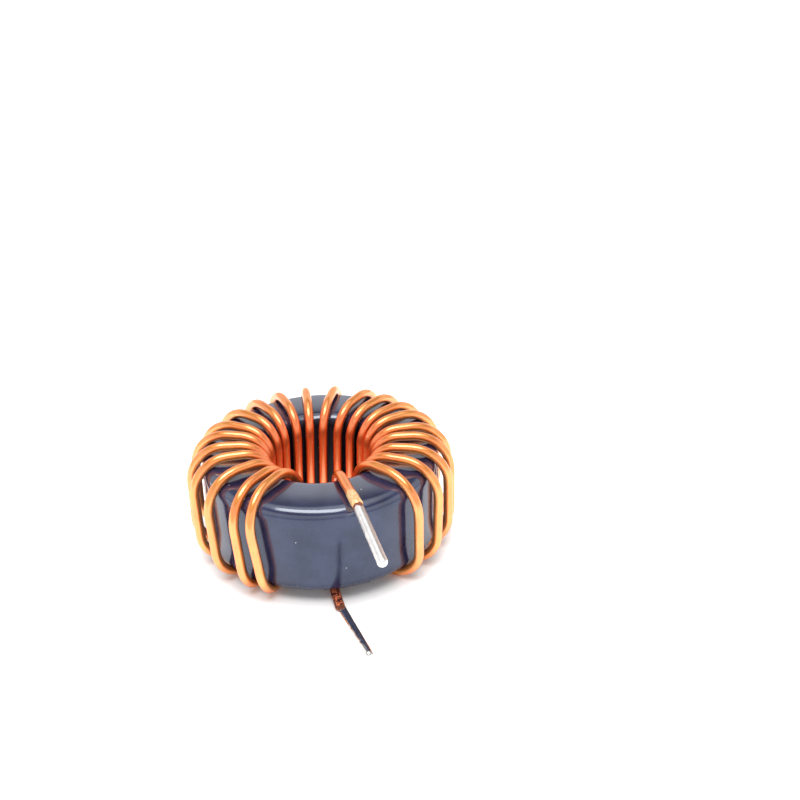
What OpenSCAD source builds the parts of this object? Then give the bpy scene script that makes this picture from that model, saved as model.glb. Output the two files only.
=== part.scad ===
/* [Core] */
// Outside diameter of the coated ring
core_d = 27.7; // [24:0.1:34]
// Diameter of the hole through the coated ring
core_hole_d = 13.9; // [12:0.1:17]
// Height of the coated ring
core_h = 10.5; // [8:0.1:16]
// Radius of the ring's rounded edges
core_edge_r = 1.6; // [0.8:0.05:2]

/* [Wire] */
// Diameter of the enamelled wire
wire_d = 1.1; // [0.8:0.05:1.2]
// Thickness of the enamel on the copper
enamel_t = 0.03; // [0.02:0.01:0.06]
// Least gap between neighbouring turns in the hole
turn_gap = 0.05; // [0.02:0.01:0.1]

/* [Lay of the turns on the ring] */
// Gap between the turns and the wall of the hole
bore_gap = 0.25; // [0.1:0.05:0.4]
// Gap between the turns and the ring's outer wall
wall_gap = 0.85; // [0.3:0.05:1.2]
// Gap between the ring and the runs over its top
top_gap = 0.75; // [0.4:0.05:1]
// Gap between the ring and the runs under it
floor_gap = 0.3; // [0.2:0.05:0.8]
// Least gap between the bends and the ring's rounded edges
edge_gap = 0.1; // [0.06:0.01:0.15]

/* [Leads] */
// Length of the tinned end of the upper lead
upper_tin_len = 8.7; // [5:0.1:15]
// Length of the tinned end of the lower lead
lower_tin_len = 8.8; // [5:0.1:15]
// Thickness of the solder on the bare copper
solder_t = 0.07; // [0.04:0.01:0.12]
// Distance of the upper lead's knee from the ring's outer wall
upper_knee_out = 0.9; // [0.6:0.1:3]
// Distance of the lower lead's knee from the ring's outer wall
lower_knee_out = 1.8; // [1:0.1:4]
// Radius of the leads' knees
knee_r = 3; // [2:0.5:5]
// Downward slope of the upper lead past its knee
upper_droop = 12; // [3:1:20]
// Sideways turn of the lower lead at its knee
lower_turn = 9; // [3:1:20]
// Thickness of the swollen enamel before the upper lead's knee
collar_t = 0.1; // [0.05:0.01:0.15]
// Length of the swollen enamel
collar_len = 3; // [2:0.1:3.5]

/* [Hidden] */

// Each turn is laid by hand, so its angles are its own: the place of the first turn in the
// hole, the step to the next one, the lean of the run over the top and of the run down the wall
first_turn_a = 243;
bore_steps = [12, 11, 13, 14, 15, 11, 17, 13, 17, 15, 15, 17, 16, 17, 12, 16, 12, 19, 16, 11, 25];
top_leans = [-2, 2, -4, -9, -7, -5, -6, -4, -6, -3, -4, -6, -8, -4, 0, 0, 0, 1, 7, 10, 4];
wall_leans = [7, 5, 6, 8, 5, 2, 2, 2, 0, 2, 2, 2, 2, -1, -1, -3, -4, -6, -1, -4, 0];
// Lean of each run up the hole, and of the first one, which the lower lead leads into
climb_a = 5;
lead_in_a = 29;
// Headings of the leads from the hole to their knees, seen from above
upper_lead_a = -71;
lower_lead_a = -76;

// Largest share of a run that one of its bends takes up
bend_share = 0.48;
// How much tighter the bends are laid than the widest ones that clear the ring's edges
bend_slack = 0.45;
// The straight runs are a hair thinner than the bends and reach into them
run_relief = 0.005;
run_lap = 0.1;
// Depth of the stripped copper's root in the enamelled wire
copper_root = 0.2;
// Room for the copper in its solder coat
solder_fit = 0.01;
// Where the swollen enamel is thickest, as shares of its length
swell_from = 0.55;
swell_to = 0.8;
// Facets of the ring and of the wire
round_fn = 144;
wire_fn = 24;

turns = len(bore_steps);
wire_r = wire_d / 2;
run_r = wire_r - run_relief;
copper_r = wire_r - enamel_t;
tin_r = copper_r + solder_t;
collar_r = wire_r + collar_t;
core_r = core_d / 2;
bore_r = core_hole_d / 2 - bore_gap - wire_r;
wall_r = core_r + wall_gap + wire_r;
core_z = wire_d + floor_gap;
low_z = wire_r;
top_z = core_z + core_h + top_gap + wire_r;
step_min = 2 * asin((wire_d + turn_gap) / (2 * bore_r));

function unit(v) = v / norm(v);
function around(r, a, z) = [r * cos(a), r * sin(a), z];
function heading(a, droop = 0) = [cos(a) * cos(droop), sin(a) * cos(droop), -sin(droop)];

// Widest bend of the wire that still clears the ring's edge, with these gaps on its two sides
function widest_bend(gap_a, gap_b) =
    core_edge_r + wire_r + gap_a + gap_b - edge_gap
        + sqrt(2 * max(0, gap_a - edge_gap) * max(0, gap_b - edge_gap));

// Bend of the wire round the ring's edge, tighter still where the runs are short
function bend_r(gap_a, gap_b) = min(
    bend_share * min(wall_r - bore_r, top_z - low_z),
    widest_bend(gap_a, gap_b) - bend_slack
);

// Length from a point along a direction to a distance from the ring's axis
function run_to(p, d, r) =
    let (a = d.x * d.x + d.y * d.y, b = p.x * d.x + p.y * d.y)
    (-b + sqrt(b * b - a * (p.x * p.x + p.y * p.y - r * r))) / a;

// Angles of turn i in the hole, at the top of the wall and at its foot
function bore_a(i) = i == 0 ? first_turn_a : bore_a(i - 1) - max(bore_steps[i - 1], step_min);
function top_a(i) = bore_a(i) + top_leans[i];
function foot_a(i) = top_a(i) + wall_leans[i];

// Length of a knee's bend on each side of its corner; the wire is stripped where the bend ends
function knee_reach(turn) = knee_r * tan(turn / 2);

// The lower lead lies on the floor, from the first pass up the hole to its knee and its tip
lower_level = heading(lower_lead_a);
lower_dir = heading(lower_lead_a + lower_turn);
lower_start = around(bore_r, first_turn_a + lead_in_a, tin_r);
lower_knee = lower_start + lower_level * run_to(lower_start, lower_level, core_r + lower_knee_out);
lower_strip = lower_knee + lower_dir * knee_reach(lower_turn);

// The upper lead leaves the last pass level, and droops past its knee
upper_level = heading(upper_lead_a);
upper_dir = heading(upper_lead_a, upper_droop);
upper_start = around(bore_r, bore_a(turns), top_z);
upper_knee = upper_start + upper_level * run_to(upper_start, upper_level, core_r + upper_knee_out);
upper_strip = upper_knee + upper_dir * knee_reach(upper_droop);
upper_collar = upper_knee - upper_level * (knee_reach(upper_droop) + run_lap + collar_len);

// Corners of the wire's centre line, with the radius of the bend at each
function pass_foot(i) = i == 0 ? lower_start : around(bore_r, bore_a(i) + climb_a, low_z);
function turn_corners(i) = [
    pass_foot(i),
    around(bore_r, bore_a(i), top_z),
    around(wall_r, top_a(i), top_z),
    around(wall_r, foot_a(i), low_z)
];
bore_foot_bend = bend_r(bore_gap, floor_gap);
bore_top_bend = bend_r(bore_gap, top_gap);
wall_top_bend = bend_r(wall_gap, top_gap);
wall_foot_bend = bend_r(wall_gap, floor_gap);
corners = [
    lower_strip,
    lower_knee,
    for (i = [0 : turns - 1]) each turn_corners(i),
    pass_foot(turns),
    upper_start,
    upper_knee,
    upper_strip
];
bends = [
    0,
    knee_r,
    for (i = [0 : turns - 1]) each [bore_foot_bend, bore_top_bend, wall_top_bend, wall_foot_bend],
    bore_foot_bend,
    bore_top_bend,
    knee_r,
    0
];
last = len(corners) - 1;

function run_dir(k) = unit(corners[k + 1] - corners[k]);
function bend_a(k) = acos(run_dir(k - 1) * run_dir(k));
function set_back(k) = bends[k] == 0 ? 0 : bends[k] * tan(bend_a(k) / 2) - run_lap;

// Stands its children on a point, with their Z along a direction
module along(point, dir) {
    translate(point)
        rotate([0, acos(dir.z), atan2(dir.y, dir.x)])
            children();
}

// Straight stretch of wire between corners k and k + 1
module wire_run(k) {
    length = norm(corners[k + 1] - corners[k]) - set_back(k) - set_back(k + 1);
    along(corners[k] + run_dir(k) * set_back(k), run_dir(k))
        cylinder(h = length, r = run_r, $fn = wire_fn);
}

// Bend of the wire at corner k
module wire_bend(k) {
    tangent = run_dir(k - 1);
    inward = unit(run_dir(k) - tangent * cos(bend_a(k)));
    normal = cross(tangent, inward);
    centre = corners[k] - tangent * bends[k] * tan(bend_a(k) / 2) + inward * bends[k];
    multmatrix([
        [-inward.x, tangent.x, normal.x, centre.x],
        [-inward.y, tangent.y, normal.y, centre.y],
        [-inward.z, tangent.z, normal.z, centre.z]
    ])
        rotate_extrude(angle = bend_a(k), $fn = 2 * wire_fn)
            translate([bends[k], 0])
                circle(r = wire_r, $fn = wire_fn);
}

// Stripped copper inside a tinned end, rooted in the enamelled wire
module bare_copper(strip, dir, tin_len) {
    along(strip - dir * copper_root, dir)
        cylinder(h = copper_root + tin_len - tin_r - solder_fit, r = copper_r, $fn = wire_fn);
}

// Enamel of the upper lead swollen by the heat of the tinning
module swollen_enamel() {
    along(upper_collar, upper_level)
        rotate_extrude($fn = wire_fn)
            polygon([
                [0, 0],
                [copper_r, 0],
                [collar_r, swell_from * collar_len],
                [collar_r, swell_to * collar_len],
                [copper_r, collar_len],
                [0, collar_len]
            ]);
}

// Solder sleeve with a round tip on a stripped end
module solder_coat(strip, dir, tin_len) {
    barrel = tin_len - tin_r;
    along(strip + dir * solder_fit, dir)
        rotate_extrude($fn = 2 * wire_fn)
            union() {
                translate([copper_r + solder_fit, 0]) square([solder_t - solder_fit, barrel]);
                intersection() {
                    translate([0, barrel]) circle(r = tin_r, $fn = 2 * wire_fn);
                    translate([0, barrel]) square(tin_r);
                }
            }
}

module core() {
    color("#3d404b")
        translate([0, 0, core_z])
            rotate_extrude($fn = round_fn)
                union() {
                    translate([core_hole_d / 2 + core_edge_r, 0])
                        square([(core_d - core_hole_d) / 2 - 2 * core_edge_r, core_h]);
                    translate([core_hole_d / 2, core_edge_r])
                        square([(core_d - core_hole_d) / 2, core_h - 2 * core_edge_r]);
                    for (x = [core_hole_d / 2 + core_edge_r, core_r - core_edge_r])
                        for (z = [core_edge_r, core_h - core_edge_r])
                            translate([x, z]) circle(r = core_edge_r, $fn = 2 * wire_fn);
                }
}

module winding() {
    color("#d9752d")
        union() {
            for (k = [1 : last - 2]) wire_run(k);
            for (k = [1 : last - 1]) wire_bend(k);
            bare_copper(lower_strip, lower_dir, lower_tin_len);
            bare_copper(upper_strip, upper_dir, upper_tin_len);
            swollen_enamel();
        }
}

module upper_solder_coat() {
    color("#dcdcd8") solder_coat(upper_strip, upper_dir, upper_tin_len);
}

module lower_solder_coat() {
    color("#dcdcd8") solder_coat(lower_strip, lower_dir, lower_tin_len);
}

core();
winding();
upper_solder_coat();
lower_solder_coat();
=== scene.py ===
import math

import bpy
from mathutils import Matrix, Vector


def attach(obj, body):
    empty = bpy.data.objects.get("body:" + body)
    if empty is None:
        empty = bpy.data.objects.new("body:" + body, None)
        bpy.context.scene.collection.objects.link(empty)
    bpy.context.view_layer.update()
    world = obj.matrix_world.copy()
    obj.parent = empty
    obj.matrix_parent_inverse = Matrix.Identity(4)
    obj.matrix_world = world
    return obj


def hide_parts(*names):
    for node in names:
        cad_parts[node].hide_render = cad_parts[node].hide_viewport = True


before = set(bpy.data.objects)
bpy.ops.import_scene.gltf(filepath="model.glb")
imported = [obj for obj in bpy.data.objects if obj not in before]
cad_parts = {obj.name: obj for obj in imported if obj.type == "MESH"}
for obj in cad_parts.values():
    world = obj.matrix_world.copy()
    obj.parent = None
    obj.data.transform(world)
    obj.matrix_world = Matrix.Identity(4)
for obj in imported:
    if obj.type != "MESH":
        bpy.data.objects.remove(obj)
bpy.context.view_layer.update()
mm = 0.001  # sizes below are in millimetres, angles in degrees
print("frame loaded:", sorted(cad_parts))


# A node socket that takes part in Python expressions
class Sock:
    def __init__(self, tree, socket=None):
        self.tree = tree
        self.socket = socket

    # Any node: first its settings, then the values or links of its sockets
    def node(self, kind, settings=None, inputs=None, out=0):
        made = self.tree.nodes.new(kind)
        for name, value in (settings or {}).items():
            if name == "stops":
                fillRamp(made.color_ramp, value)
            else:
                setattr(made, name, value)
        for name, value in (inputs or {}).items():
            if isinstance(value, Sock):
                self.tree.links.new(value.socket, made.inputs[name])
            else:
                made.inputs[name].default_value = value
        return Sock(self.tree, made.outputs[out] if made.outputs else None)

    def math(self, operation, *values):
        return self.node("ShaderNodeMath", {"operation": operation}, dict(enumerate(values)))

    def __add__(self, other):
        return self.math("ADD", self, other)

    def __sub__(self, other):
        return self.math("SUBTRACT", self, other)

    def __rsub__(self, other):
        return self.math("SUBTRACT", other, self)

    def __mul__(self, other):
        return self.math("MULTIPLY", self, other)

    def __truediv__(self, other):
        return self.math("DIVIDE", self, other)

    def __lt__(self, other):
        return self.math("LESS_THAN", self, other)

    __radd__ = __add__
    __rmul__ = __mul__


def fillRamp(ramp, stops):
    while len(ramp.elements) < len(stops):
        ramp.elements.new(1)
    for element, (place, colour) in zip(ramp.elements, stops):
        element.position = place
        element.color = colour


# Eased step from 0 to 1 between two values, which may fall
def ease(value, start, end):
    inputs = {"Value": value, "From Min": start, "From Max": end}
    return value.node("ShaderNodeMapRange", {"interpolation_type": "SMOOTHSTEP"}, inputs)


def vectorMath(operation, *vectors, out="Vector"):
    return vectors[0].node("ShaderNodeVectorMath", {"operation": operation}, dict(enumerate(vectors)), out)


def scaled(vector, factor):
    return vector.node("ShaderNodeVectorMath", {"operation": "SCALE"}, {0: vector, "Scale": factor})


def fromAxis(place):
    return vectorMath("LENGTH", vectorMath("MULTIPLY", place, (1, 1, 0)), out="Value")


def heightOf(place):
    return place.node("ShaderNodeSeparateXYZ", None, {0: place}, "Z")


def noise(vector, scale, detail=2.0, roughness=0.5, out=0):
    inputs = {"Vector": vector, "Scale": scale, "Detail": detail, "Roughness": roughness}
    return vector.node("ShaderNodeTexNoise", None, inputs, out)


def cells(vector, scale, out="Distance"):
    return vector.node("ShaderNodeTexVoronoi", None, {"Vector": vector, "Scale": scale}, out)


# A Mix node's colours are its sockets 6 and 7, and its result 2
def blendColour(factor, first, second):
    return factor.node("ShaderNodeMix", {"data_type": "RGBA"}, {0: factor, 6: first, 7: second}, 2)


# Camera at the photograph's viewpoint, on a square picture
photoCamera = {
    "place": (10.33, -115.39, 81.07),
    "azimuth": 0.43,
    "elevation": 28.62,
    "roll": -1.21,
    "lens": 51.61,
    "sensor": 36.0,
    "clipStart": 1.0,
}


def makeCamera():
    a = math.radians(photoCamera["azimuth"])
    e = math.radians(photoCamera["elevation"])
    back = Vector((math.sin(a) * math.cos(e), -math.cos(a) * math.cos(e), math.sin(e)))
    level = Vector((math.cos(a), math.sin(a), 0))
    right = Matrix.Rotation(math.radians(photoCamera["roll"]), 3, back) @ level
    turn = Matrix((right, back.cross(right), back)).transposed()
    data = bpy.data.cameras.new("photoCamera")
    data.lens = photoCamera["lens"]
    data.sensor_width = photoCamera["sensor"]
    data.clip_start = photoCamera["clipStart"] * mm
    camera = bpy.data.objects.new("photoCamera", data)
    camera.matrix_world = Matrix.Translation(Vector(photoCamera["place"]) * mm) @ turn.to_4x4()
    bpy.context.collection.objects.link(camera)
    bpy.context.scene.camera = camera


makeCamera()
print("camera set")


# Materials: a noise is given as scale, detail and maybe roughness, an eased step as its start and end
def startMaterial(name):
    material = bpy.data.materials.new(name)
    material.use_nodes = True
    material.node_tree.nodes.clear()
    return material, Sock(material.node_tree)


def endMaterial(shade, surface):
    shade.node("ShaderNodeOutputMaterial", None, {"Surface": surface})


def attribute(shade, name, out="Fac"):
    return shade.node("ShaderNodeAttribute", {"attribute_name": name}, None, out)


def objectMm(shade):
    return scaled(shade.node("ShaderNodeTexCoord", None, None, "Object"), 1 / mm)


def bump(height, distance):
    return height.node("ShaderNodeBump", None, {"Height": height, "Distance": distance * mm})


# Dark epoxy on the ring: glossy, most of all on top, dull in the hole and painted darker there as shade,
# with a few specks of dust
coatLook = {
    "dark": (0.006, 0.008, 0.036, 1),
    "pale": (0.036, 0.042, 0.105, 1),
    "toneStep": (0.25, 0.75),
    "gloss": (0.74, 0.85, 1.0, 1),  # tint of the reflections
    "roughness": 0.1,
    "ior": 1.65,
    "cloud": (0.35, 4.0),
    "grain": (9.0, 3.0, 0.6),
    "peel": (2.2, 2.0),
    "peelHeight": 0.003,
    "dust": (0.6, 0.58, 0.56, 1),
    "speckScale": 0.55,
    "speckSize": (0.05, 0.025),
    "speckChoice": (0.4, 0.45),  # leaves many cells without a speck
    "topGloss": 0.7,
    "topGlossFrom": (11.05, 11.5),  # heights
    "topGlossRoughness": 0.12,
    "topGlossIor": 1.75,
    # Painted shade: the coat in the hole gets a darker colour of its own, besides its duller gloss
    "paintedHoleShade": (0.006, 0.006, 0.016, 1),
    "paintedHoleShadeFrom": (7.5, 7.1),  # distances from the axis
    "inHoleRoughness": 0.45,
    "inHoleIor": 1.35,
}


def makeCoat():
    material, shade = startMaterial("epoxyCoat")
    place = objectMm(shade)
    cloud = noise(place, *coatLook["cloud"])
    grain = noise(place, *coatLook["grain"])
    peel = noise(place, *coatLook["peel"])
    cell = cells(place, coatLook["speckScale"])
    pick = shade.node("ShaderNodeSeparateColor", None, {0: cells(place, coatLook["speckScale"], "Color")})
    speck = ease(cell, *coatLook["speckSize"]) * ease(pick, *coatLook["speckChoice"])
    mottle = ease(cloud * 0.7 + grain * 0.3, *coatLook["toneStep"])
    tone = blendColour(mottle, coatLook["dark"], coatLook["pale"])
    surface = shade.node("ShaderNodeBsdfPrincipled", None, {
        "Base Color": blendColour(speck, tone, coatLook["dust"]),
        "Roughness": coatLook["roughness"] + cloud * 0.05 + grain * 0.05 + speck * 0.3,
        "IOR": coatLook["ior"],
        "Specular Tint": coatLook["gloss"],
        "Coat Weight": ease(heightOf(place), *coatLook["topGlossFrom"]) * coatLook["topGloss"],
        "Coat Roughness": coatLook["topGlossRoughness"],
        "Coat IOR": coatLook["topGlossIor"],
        "Normal": bump(peel * 0.8 + grain * 0.2 + speck * 2.0, coatLook["peelHeight"]),
    })
    # The duller coat of the hole, whose darker colour is painted shade
    dull = shade.node("ShaderNodeBsdfPrincipled", None, {
        "Base Color": coatLook["paintedHoleShade"],
        "Roughness": coatLook["inHoleRoughness"],
        "IOR": coatLook["inHoleIor"],
    })
    # Painted shade in the hole: there the darker, duller coat takes over
    paintedHoleShade = ease(fromAxis(place), *coatLook["paintedHoleShadeFrom"])
    endMaterial(shade, shade.node("ShaderNodeMixShader", None, {0: paintedHoleShade, 1: surface, 2: dull}))
    return material


# Enamelled copper: clear orange enamel over bright drawn wire, scorched beside the tinned ends, painted
# redder in the hole as shade and inter-reflection
copperLook = {
    "deep": (0.94, 0.25, 0.027, 1),
    "bright": (0.98, 0.37, 0.055, 1),
    "toneStep": (0.32, 0.68),
    "edge": (1.0, 0.45, 0.2, 1),  # tint of the metal seen aslant
    "roughness": 0.32,
    "ior": 1.6,
    "lacquer": 0.15,  # share that does not look like metal
    "enamel": 0.88,  # weight of the clear coat
    "enamelRoughness": 0.15,
    "enamelIor": 2.05,
    "drawnStretch": (7.0, 7.0, 0.22),
    "drawn": (1.0, 3.0, 0.6),
    "cloud": (0.5, 3.0),
    "fine": (6.0, 3.0, 0.65),
    "patch": (2.4, 3.0, 0.6),
    "grainHeight": 0.006,
    # Painted shade and inter-reflection: the copper in the hole gets a redder colour of its own
    "paintedHoleShade": (0.98, 0.27, 0.085, 1),
    "paintedHoleShadeFrom": (9.0, 6.5),
    "soot": (0.05, 0.006, 0.008, 1),
    "rust": (0.80, 0.22, 0.10, 1),
    "scab": (2.147, 2.0, 0.6),
    "rustStep": (0.48, 0.58),
    "charRagged": 1.1,
    "charStep": (0.3, 0.62),
    "blister": (1.0, 0.74, 0.36, 1),
    "scorch": (0.94, 0.47, 0.15, 1),
    "scorchStep": (0.42, 0.62),
    "blisterRagged": 0.7,
    "blisterStep": (0.25, 0.7),
    "dust": (0.95, 0.80, 0.66, 1),
    "speckScale": 1.1,
    "speckSize": (0.085, 0.05),
    "speckFrom": (7.4, 6.6),
}


def makeCopper():
    material, shade = startMaterial("enamelledCopper")
    place = objectMm(shade)
    along = scaled(attribute(shade, "wireSpace", "Vector"), 1 / mm)
    stretch = shade.node("ShaderNodeMapping", None, {"Vector": along, "Scale": copperLook["drawnStretch"]})
    drawn = noise(stretch, *copperLook["drawn"])
    cloud = noise(place, *copperLook["cloud"])
    fine = noise(place, *copperLook["fine"])
    patch = noise(place, *copperLook["patch"])
    scab = noise(place, *copperLook["scab"])
    ragged = patch - 0.5
    char = ease(attribute(shade, "char") + ragged * copperLook["charRagged"], *copperLook["charStep"])
    blister = ease(attribute(shade, "blister") + ragged * copperLook["blisterRagged"],
                   *copperLook["blisterStep"])
    # Painted shade: mask of the hole, where the copper takes its redder colour and a thinner enamel
    paintedHoleShade = ease(fromAxis(place), *copperLook["paintedHoleShadeFrom"])
    speck = (ease(cells(place, copperLook["speckScale"]), *copperLook["speckSize"])
             * ease(fromAxis(place), *copperLook["speckFrom"]))
    mottle = ease(cloud * 0.6 + drawn * 0.4, *copperLook["toneStep"])
    clean = blendColour(mottle, copperLook["deep"], copperLook["bright"])
    clean = blendColour(paintedHoleShade, clean, copperLook["paintedHoleShade"])
    rusty = ease(scab * 0.6 + fine * 0.4, *copperLook["rustStep"])
    burnt = blendColour(rusty, copperLook["soot"], copperLook["rust"])
    scorched = ease(patch, *copperLook["scorchStep"])
    swollen = blendColour(scorched, copperLook["blister"], copperLook["scorch"])
    tone = blendColour(char, blendColour(blister, clean, swollen), burnt)
    surface = shade.node("ShaderNodeBsdfPrincipled", None, {
        "Base Color": blendColour(speck, tone, copperLook["dust"]),
        "Metallic": 1 - copperLook["lacquer"] - char * 0.6 - blister * 0.2 - speck,
        "Roughness": copperLook["roughness"] + drawn * 0.06 + char * 0.3 + blister * 0.25,
        "IOR": copperLook["ior"],
        "Specular Tint": copperLook["edge"],
        "Coat Weight": copperLook["enamel"] - char * 0.7 - paintedHoleShade * 0.5,
        "Coat Roughness": copperLook["enamelRoughness"],
        "Coat IOR": copperLook["enamelIor"],
        "Normal": bump(drawn * 0.15 + fine * (0.05 + char * 1.5 + blister * 0.3), copperLook["grainHeight"]),
    })
    endMaterial(shade, surface)
    return material


# Solder on the stripped ends: bright, wavy, stained where the enamel stops, with a painted reflection of the
# dark ring as a darker streak along one side
tinLook = {
    "bright": (0.98, 0.975, 0.965, 1),
    "dull": (0.87, 0.86, 0.85, 1),
    "toneStep": (0.36, 0.62),
    "upperRoughness": 0.36,
    "lowerRoughness": 0.09,
    "cloud": (1.3, 3.0),
    "grain": (7.0, 3.0, 0.6),
    "waveHeight": 0.01,
    "stain": (0.30, 0.10, 0.05, 1),
    "stainRagged": 2.6,
    "stainReach": (0.77, 0.33),
    # Painted reflection: a brownish grey streak where the tin would mirror the dark ring
    "paintedReflection": (0.60, 0.50, 0.46, 1),
    "paintedReflectionRagged": 0.25,
    "paintedReflectionStep": (0.78, 0.95),
}


def makeTin(name, roughness):
    material, shade = startMaterial(name)
    place = objectMm(shade)
    cloud = noise(place, *tinLook["cloud"])
    grain = noise(place, *tinLook["grain"])
    ragged = cloud - 0.5
    reach = attribute(shade, "fromStrip") / mm
    stain = ease(reach + ragged * tinLook["stainRagged"], *tinLook["stainReach"])
    # Painted reflection of the dark ring, as a darker streak on the side that faces one way
    paintedReflection = ease(attribute(shade, "side") + ragged * tinLook["paintedReflectionRagged"], *tinLook["paintedReflectionStep"])
    mottle = ease(cloud * 0.6 + grain * 0.4, *tinLook["toneStep"])
    tone = blendColour(mottle, tinLook["dull"], tinLook["bright"])
    tone = blendColour(paintedReflection, tone, tinLook["paintedReflection"])
    surface = shade.node("ShaderNodeBsdfPrincipled", None, {
        "Base Color": blendColour(stain, tone, tinLook["stain"]),
        "Metallic": 1 - stain * 0.5,
        "Roughness": roughness + cloud * 0.1 + stain * 0.25,
        "Normal": bump(cloud * 0.97 + grain * 0.03, tinLook["waveHeight"]),
    })
    endMaterial(shade, surface)
    return material


coat = makeCoat()
copper = makeCopper()
upperTin = makeTin("upperSolder", tinLook["upperRoughness"])
lowerTin = makeTin("lowerSolder", tinLook["lowerRoughness"])
print("materials made")


# Geometry trees: named inputs first, a plain mesh at the end
socketKinds = {float: "NodeSocketFloat", int: "NodeSocketInt", bpy.types.Material: "NodeSocketMaterial"}


def startTree(name, sizes):
    tree = bpy.data.node_groups.new(name, "GeometryNodeTree")
    tree.interface.new_socket("Geometry", in_out="INPUT", socket_type="NodeSocketGeometry")
    for label, value in sizes.items():
        tree.interface.new_socket(label, in_out="INPUT", socket_type=socketKinds[type(value)])
    tree.interface.new_socket("Geometry", in_out="OUTPUT", socket_type="NodeSocketGeometry")
    entry = tree.nodes.new("NodeGroupInput")
    return Sock(tree), {socket.name: Sock(tree, socket) for socket in entry.outputs if socket.name}


def endTree(geometry, material):
    smooth = geometry.node("GeometryNodeSetShadeSmooth", None, {0: geometry})
    real = smooth.node("GeometryNodeRealizeInstances", None, {0: smooth})
    dressed = real.node("GeometryNodeSetMaterial", None, {0: real, "Material": material})
    dressed.node("NodeGroupOutput", None, {0: dressed})


def store(geometry, name, value, kind="FLOAT"):
    settings = {"data_type": kind, "domain": "POINT"}
    inputs = {0: geometry, "Name": name, "Value": value}
    return geometry.node("GeometryNodeStoreNamedAttribute", settings, inputs)


def stored(geometry, name, kind="FLOAT"):
    return geometry.node("GeometryNodeInputNamedAttribute", {"data_type": kind}, {"Name": name})


def positionMm(tree):
    return scaled(tree.node("GeometryNodeInputPosition"), 1 / mm)


def moved(geometry, offset):
    return geometry.node("GeometryNodeSetPosition", None, {0: geometry, "Offset": offset})


def pushOut(geometry, height):
    return moved(geometry, scaled(geometry.node("GeometryNodeInputNormal"), height))


def circle(tree, steps, radius):
    return tree.node("GeometryNodeCurvePrimitiveCircle", None, {"Resolution": steps, "Radius": radius})


def rounded(curve, steps, radius):
    inputs = {0: curve, "Count": steps, "Radius": radius}
    return curve.node("GeometryNodeFilletCurve", {"mode": "POLY"}, inputs)


def spaced(curve, spacing):
    return curve.node("GeometryNodeResampleCurve", {"mode": "LENGTH"}, {0: curve, "Length": spacing})


# Whole length of a curve, and the length run up to each of its points
def curveRun(curve):
    whole = curve.node("GeometryNodeCurveLength", None, {0: curve})
    return whole, curve.node("GeometryNodeSplineParameter", None, None, "Length")


def sweep(path, section, size=1.0):
    inputs = {0: path, "Profile Curve": section, "Scale": size, "Fill Caps": True}
    return path.node("GeometryNodeCurveToMesh", None, inputs)


def pathMesh(name, points, bends=()):
    mesh = bpy.data.meshes.new(name)
    mesh.from_pydata([p * mm for p in points], [(i, i + 1) for i in range(len(points) - 1)], [])
    if bends:
        mesh.attributes.new("bend", "FLOAT", "POINT").data.foreach_set("value", [b * mm for b in bends])
    return mesh


# Runs a tree once and keeps its result as a plain mesh on its own object
def grow(name, tree, seed, sizes):
    carrier = bpy.data.objects.new(name + ".seed", seed)
    bpy.context.collection.objects.link(carrier)
    modifier = carrier.modifiers.new("grow", "NODES")
    modifier.node_group = tree
    for item in tree.interface.items_tree:
        if item.in_out == "INPUT" and item.name in sizes:
            modifier[item.identifier] = sizes[item.name]
    shown = bpy.context.evaluated_depsgraph_get()
    mesh = bpy.data.meshes.new_from_object(carrier.evaluated_get(shown), depsgraph=shown)
    carrier.modifiers.remove(modifier)
    bpy.data.objects.remove(carrier)
    mesh.name = name
    piece = bpy.data.objects.new(name, mesh)
    bpy.context.collection.objects.link(piece)
    print(name, len(mesh.polygons), "faces")
    return piece


# The coated ring, its top and bottom a little domed
ring = {
    "outerDiameter": 27.7,
    "holeDiameter": 13.9,
    "height": 10.5,
    "edgeRadius": 1.25,
    "dome": 0.25,  # rise of the faces midway between hole and edge
    "crown": 0.08,  # rise of the whole faces
    "lift": 1.4,  # from the floor to the underside
    "unevenness": 0.02,
    "swell": (0.22, 2.0),
    "swellLevel": 0.62,  # noise that leaves the surface in place
    "stepsAround": 320,
    "edgeSteps": 12,
    "wallSpacing": 0.22,
}
ringOuter = ring["outerDiameter"] / 2
ringHole = ring["holeDiameter"] / 2


def makeRing():
    sizes = {
        "Middle radius": (ringOuter + ringHole) / 2 * mm,
        "Wall width": (ringOuter - ringHole) * mm,
        "Height": ring["height"] * mm,
        "Edge radius": ring["edgeRadius"] * mm,
        "Dome": ring["dome"] * mm,
        "Crown": ring["crown"] * mm,
        "Lift": (ring["lift"] + ring["height"] / 2) * mm,
        "Unevenness": ring["unevenness"] * mm,
        "Steps around": ring["stepsAround"],
        "Edge steps": ring["edgeSteps"],
        "Wall spacing": ring["wallSpacing"] * mm,
        "Material": coat,
    }
    tree, given = startTree("coatedRing", sizes)
    path = circle(tree, given["Steps around"], given["Middle radius"])
    box = tree.node("GeometryNodeCurvePrimitiveQuadrilateral", None,
                    {"Width": given["Wall width"], "Height": given["Height"]})
    section = rounded(box, given["Edge steps"], given["Edge radius"])
    solid = sweep(path, spaced(section, given["Wall spacing"]))
    point = tree.node("GeometryNodeInputPosition")
    across = (fromAxis(point) - given["Middle radius"]) / given["Wall width"] * 2
    sag = ((across * across - 1) * given["Dome"] - given["Crown"]) * heightOf(point) / given["Height"] * 2
    solid = moved(solid, tree.node("ShaderNodeCombineXYZ", None, {"Z": given["Lift"] - sag}))
    swell = noise(positionMm(tree), *ring["swell"]) - ring["swellLevel"]
    solid = pushOut(solid, swell * 2 * given["Unevenness"])
    endTree(solid, given["Material"])
    return grow("coated_core", tree.tree, bpy.data.meshes.new("ringSeed"), sizes)


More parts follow.
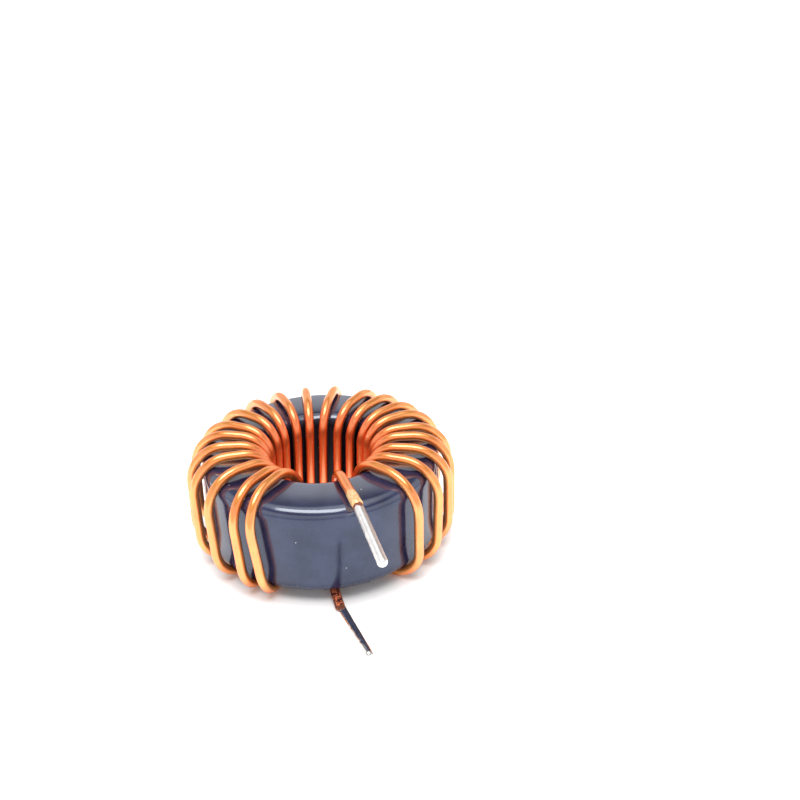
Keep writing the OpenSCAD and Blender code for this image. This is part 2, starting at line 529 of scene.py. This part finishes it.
# The wire: one route from the lower strip line, turn by turn, to the upper strip line
wire = {
    "diameter": 1.1,
    "boreGap": 0.25,
    "wallGap": 0.85,
    "topGap": 0.75,
    "floorGap": 0.3,
    "edgeGap": 0.03,
    "bendSlack": 0.1,
    # Each turn is laid one by one: its step in the hole, its lean over the top and down the wall
    "firstTurn": 243,
    "boreSteps": [12, 11, 13, 14, 15, 11, 17, 13, 17, 15, 15, 17, 16, 17, 12, 16, 12, 19, 16, 11, 25],
    "topLeans": [-2, 2, -4, -9, -7, -5, -6, -4, -6, -3, -4, -6, -8, -4, 0, 0, 0, 1, 7, 10, 4],
    "wallLeans": [7, 5, 6, 8, 5, 2, 2, 2, 0, 2, 2, 2, 2, -1, -1, -3, -4, -6, -1, -4, 0],
    "climb": 5,
    "waviness": 0.012,
    "waves": (0.3, 1.0),
    "sides": 24,
    "bendSteps": 14,
    "spacing": 0.32,
}
leads = {
    "tinDiameter": 1.18,
    "kneeRadius": 3.0,
    "leadIn": 29,  # lean of the first pass up the hole
    "lowerHeading": -76,
    "lowerTurn": 9,
    "lowerKneeOut": 1.8,
    "lowerTinLength": 8.8,
    "upperHeading": -71,
    "upperDroop": 12,
    "upperKneeOut": 0.9,
    "upperTinLength": 8.7,
    "charReach": 6.5,  # scorched from the lower strip line up to here
    "charFull": 2.925,
    "charHeight": 0.05,
    "charPits": (1.6, 2.0),
    "swell": 0.17,
    "swellReach": 3.4,  # swollen from the upper strip line back to here
    "swellFull": 1.36,
    "swellEnd": 0.2,
    "blisterHeight": 0.07,
    "blisters": (1.3, 2.0),
    "endTaper": 0.12,
    "taperLength": 0.3,
    "fineCuts": 2,  # more rings where the enamel is rough
}
wireR = wire["diameter"] / 2
tinR = leads["tinDiameter"] / 2
boreR = ringHole - wire["boreGap"] - wireR
wallR = ringOuter + wire["wallGap"] + wireR
topZ = ring["lift"] + ring["height"] + wire["topGap"] + wireR


def around(radius, degrees, z):
    a = math.radians(degrees)
    return Vector((radius * math.cos(a), radius * math.sin(a), z))


def heading(degrees, droop=0):
    fall = math.radians(droop)
    return around(math.cos(fall), degrees, -math.sin(fall))


# A little tighter than the widest bend that clears the ring's edge, with these gaps on its two sides
def bendRadius(gapA, gapB):
    spareA = gapA - wire["edgeGap"]
    spareB = gapB - wire["edgeGap"]
    widest = ring["edgeRadius"] + wireR + gapA + gapB - wire["edgeGap"] + math.sqrt(2 * spareA * spareB)
    return widest - wire["bendSlack"]


# The point along a level direction that is this far from the ring's axis
def outTo(start, direction, radius):
    b = start.x * direction.x + start.y * direction.y
    c = start.x ** 2 + start.y ** 2 - radius ** 2
    return start + direction * (math.sqrt(b * b - c) - b)


def kneeReach(turn):
    return leads["kneeRadius"] * math.tan(math.radians(turn) / 2)


lowerLevel = heading(leads["lowerHeading"])
lowerDir = heading(leads["lowerHeading"] + leads["lowerTurn"])
lowerStart = around(boreR, wire["firstTurn"] + leads["leadIn"], tinR)
lowerKnee = outTo(lowerStart, lowerLevel, ringOuter + leads["lowerKneeOut"])
lowerStrip = lowerKnee + lowerDir * kneeReach(leads["lowerTurn"])
upperStart = around(boreR, wire["firstTurn"] - sum(wire["boreSteps"]), topZ)
upperLevel = heading(leads["upperHeading"])
upperDir = heading(leads["upperHeading"], leads["upperDroop"])
upperKnee = outTo(upperStart, upperLevel, ringOuter + leads["upperKneeOut"])
upperStrip = upperKnee + upperDir * kneeReach(leads["upperDroop"])


# Corners of the wire's centre line, with the radius of the bend at each
def wireRoute():
    footBore = bendRadius(wire["boreGap"], wire["floorGap"])
    topBore = bendRadius(wire["boreGap"], wire["topGap"])
    topWall = bendRadius(wire["wallGap"], wire["topGap"])
    footWall = bendRadius(wire["wallGap"], wire["floorGap"])
    lowZ = wireR + wire["waviness"]
    route = [(lowerStrip, 0), (lowerKnee, leads["kneeRadius"]), (lowerStart, footBore)]
    bore = wire["firstTurn"]
    for step, topLean, wallLean in zip(wire["boreSteps"], wire["topLeans"], wire["wallLeans"]):
        route.append((around(boreR, bore, topZ), topBore))
        route.append((around(wallR, bore + topLean, topZ), topWall))
        route.append((around(wallR, bore + topLean + wallLean, lowZ), footWall))
        bore -= step
        route.append((around(boreR, bore + wire["climb"], lowZ), footBore))
    route += [(upperStart, topBore), (upperKnee, leads["kneeRadius"]), (upperStrip, 0)]
    return route


def makeWinding():
    sizes = {
        "Wire radius": wireR * mm,
        "Sides": wire["sides"],
        "Bend steps": wire["bendSteps"],
        "Ring spacing": wire["spacing"] * mm,
        "Waviness": wire["waviness"] * mm,
        "Char reach": leads["charReach"] * mm,
        "Full char": leads["charFull"] * mm,
        "Char height": leads["charHeight"] * mm,
        "Swell": leads["swell"],
        "Swell reach": leads["swellReach"] * mm,
        "Full swell": leads["swellFull"] * mm,
        "Swell end": leads["swellEnd"] * mm,
        "Blister height": leads["blisterHeight"] * mm,
        "End taper": leads["endTaper"],
        "Taper length": leads["taperLength"] * mm,
        "Fine cuts": leads["fineCuts"],
        "Material": copper,
    }
    tree, given = startTree("laidWire", sizes)
    path = tree.node("GeometryNodeMeshToCurve", None, {0: given["Geometry"]})
    path = rounded(path, given["Bend steps"], stored(tree, "bend"))
    path = spaced(path, given["Ring spacing"])
    whole, run = curveRun(path)
    fineEnds = ((run < given["Char reach"]) + (whole - run < given["Swell reach"])) * given["Fine cuts"]
    path = tree.node("GeometryNodeSubdivideCurve", None, {0: path, "Cuts": fineEnds})
    place = positionMm(tree)
    wobble = vectorMath("SUBTRACT", noise(place, *wire["waves"], out="Color"), (0.5, 0.5, 0.5))
    path = moved(path, scaled(wobble, 2 * given["Waviness"]))
    path = store(path, "run", run)
    path = store(path, "toUpper", whole - run)
    fromLower = stored(tree, "run")
    toUpper = stored(tree, "toUpper")
    rise = ease(toUpper, given["Swell reach"], given["Full swell"])
    path = store(path, "blister", rise * ease(toUpper, 0.0, given["Swell end"]))
    path = store(path, "char", ease(fromLower, given["Char reach"], given["Full char"]))
    blister = stored(tree, "blister")
    char = stored(tree, "char")
    toEnd = tree.math("MINIMUM", fromLower, toUpper)
    size = 1 + blister * given["Swell"] - ease(toEnd, given["Taper length"], 0.0) * given["End taper"]
    section = circle(tree, given["Sides"], given["Wire radius"])
    section = store(section, "onRing", tree.node("GeometryNodeInputPosition"), "FLOAT_VECTOR")
    tube = sweep(path, section, size)
    lengthwise = tree.node("ShaderNodeCombineXYZ", None, {"Z": fromLower})
    straight = vectorMath("ADD", stored(tree, "onRing", "FLOAT_VECTOR"), lengthwise)
    tube = store(tube, "wireSpace", straight, "FLOAT_VECTOR")
    rough = (noise(place, *leads["blisters"]) - 0.5) * 2 * blister
    pits = (noise(place, *leads["charPits"]) - 0.5) * 2 * char
    tube = pushOut(tube, rough * given["Blister height"] + pits * given["Char height"])
    endTree(tube, given["Material"])
    corners = wireRoute()
    seed = pathMesh("wireRoute", [p for p, bend in corners], [bend for p, bend in corners])
    return grow("copper_winding", tree.tree, seed, sizes)


# The tinned ends: solder drawn to a round tip, a little uneven along its length
solder = {
    "lap": 0.12,  # over the strip line
    "neck": 0.94,
    "neckLength": 0.5,
    "tipLeast": 0.01,  # share of the radius left at the very tip
    "unevenness": 0.06,
    "thinning": (0.8, 2.0),
    "waves": (1.1, 2.0),
    "waveLevel": 0.6,
    "paintedReflectionSide": (0.61, 0.03, 0.79),  # the way the painted reflection of the dark ring faces
    "sides": 32,
    "spacing": 0.06,
}


def makeTinnedEnd(name, strip, direction, length, material):
    sizes = {
        "Tip radius": tinR * mm,
        "Neck": solder["neck"],
        "Neck length": solder["neckLength"] * mm,
        "Unevenness": solder["unevenness"],
        "Sides": solder["sides"],
        "Ring spacing": solder["spacing"] * mm,
        "Material": material,
    }
    tree, given = startTree(name, sizes)
    path = tree.node("GeometryNodeMeshToCurve", None, {0: given["Geometry"]})
    path = spaced(path, given["Ring spacing"])
    whole, run = curveRun(path)
    path = store(path, "fromStrip", run)
    fromStrip = stored(tree, "fromStrip")
    inTip = tree.math("MAXIMUM", 1 - (whole - fromStrip) / given["Tip radius"], 0.0)
    tipRound = tree.math("SQRT", tree.math("MAXIMUM", 1 - inTip * inTip, solder["tipLeast"] ** 2))
    neck = given["Neck"] + ease(fromStrip, 0.0, given["Neck length"]) * (1 - given["Neck"])
    place = positionMm(tree)
    thin = 1 - noise(place, *solder["thinning"]) * given["Unevenness"]
    section = circle(tree, given["Sides"], given["Tip radius"])
    tube = sweep(path, section, tipRound * neck * thin)
    normal = tree.node("GeometryNodeInputNormal")
    # How each point faces, which places the painted reflection on the tin
    tube = store(tube, "side", vectorMath("DOT_PRODUCT", normal, solder["paintedReflectionSide"], out="Value"))
    waves = noise(place, *solder["waves"]) - solder["waveLevel"]
    tube = pushOut(tube, waves * given["Unevenness"] * given["Tip radius"])
    endTree(tube, given["Material"])
    seed = pathMesh(name + "Line", [strip - direction * solder["lap"], strip + direction * length])
    return grow(name, tree.tree, seed, sizes)


core = makeRing()
winding = makeWinding()
upperEnd = makeTinnedEnd("upper_tinned_end", upperStrip, upperDir, leads["upperTinLength"], upperTin)
lowerEnd = makeTinnedEnd("lower_tinned_end", lowerStrip, lowerDir, leads["lowerTinLength"], lowerTin)

dressing = [
    (core, "core", "epoxy_coated_core"),
    (winding, "winding", "enamelled_copper"),
    (upperEnd, "upper_solder_coat", "solder"),
    (lowerEnd, "lower_solder_coat", "solder"),
]
for piece, node, slot in dressing:
    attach(piece, "root")
    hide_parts(node)
print("pieces placed")


# Studio: pale floor, white surroundings and a soft overhead lamp; the sky is given as heights and levels
studio = {
    "floorSize": 8000,
    "floorColour": (0.88, 0.88, 0.88, 1),
    "liftInHole": 1.3,
    "liftNear": 0.02,
    "liftFar": 0.9,
    "holeReach": (6.5, 4.0),
    "shadowReach": (13.5, 18.0),
    "sky": [(0.0, 0.8), (0.22, 1.08), (0.54, 1.08), (0.67, 0.24), (0.78, 0.24), (0.93, 1.5)],
    "lampPlace": (-80, -260, 1000),
    "lampSize": (760, 440),
    "lampWatts": 5.6,
}


# In the hole and beyond the shadow the floor is lifted to white, where it is seen or mirrored only
def makeFloor():
    half = studio["floorSize"] * mm / 2
    corners = [(-half, -half, 0), (half, -half, 0), (half, half, 0), (-half, half, 0)]
    mesh = bpy.data.meshes.new("floor")
    mesh.from_pydata(corners, [], [(0, 1, 2, 3)])
    material, shade = startMaterial("paleFloor")
    matte = shade.node("ShaderNodeBsdfDiffuse", None, {"Color": studio["floorColour"]})
    rays = ("Is Camera Ray", "Is Glossy Ray", "Is Transmission Ray")
    direct, glossy, through = [shade.node("ShaderNodeLightPath", None, None, ray) for ray in rays]
    away = fromAxis(objectMm(shade))
    lift = (studio["liftNear"]
            + ease(away, *studio["holeReach"]) * (studio["liftInHole"] - studio["liftNear"])
            + ease(away, *studio["shadowReach"]) * (studio["liftFar"] - studio["liftNear"]))
    lift = lift * shade.math("MAXIMUM", direct, shade.math("MAXIMUM", glossy, through))
    glow = shade.node("ShaderNodeEmission", None, {"Color": lift, "Strength": 1.0})
    endMaterial(shade, shade.node("ShaderNodeAddShader", None, {0: matte, 1: glow}))
    mesh.materials.append(material)
    floor = bpy.data.objects.new("floor", mesh)
    bpy.context.collection.objects.link(floor)


# White low down, dim higher up and bright again round the lamp, so that metal and gloss show a form
def makeSurroundings():
    world = bpy.data.worlds.new("surroundings")
    bpy.context.scene.world = world
    world.use_nodes = True
    world.node_tree.nodes.clear()
    shade = Sock(world.node_tree)
    toward = shade.node("ShaderNodeTexCoord")
    stops = [(height, (level, level, level, 1)) for height, level in studio["sky"]]
    tone = shade.node("ShaderNodeValToRGB", {"stops": stops}, {0: heightOf(toward)})
    light = shade.node("ShaderNodeBackground", None, {"Color": tone, "Strength": 1.0})
    shade.node("ShaderNodeOutputWorld", None, {0: light})


def makeLamp():
    data = bpy.data.lights.new("softbox", "AREA")
    data.shape = "RECTANGLE"
    data.size = studio["lampSize"][0] * mm
    data.size_y = studio["lampSize"][1] * mm
    data.energy = studio["lampWatts"]
    lamp = bpy.data.objects.new("softbox", data)
    place = Vector(studio["lampPlace"]) * mm
    lamp.location = place
    lamp.rotation_mode = "QUATERNION"
    lamp.rotation_quaternion = (-place).to_track_quat("-Z", "Y")
    bpy.context.collection.objects.link(lamp)


makeFloor()
makeSurroundings()
makeLamp()
bpy.context.scene.view_settings.view_transform = "Standard"
print("studio lit")
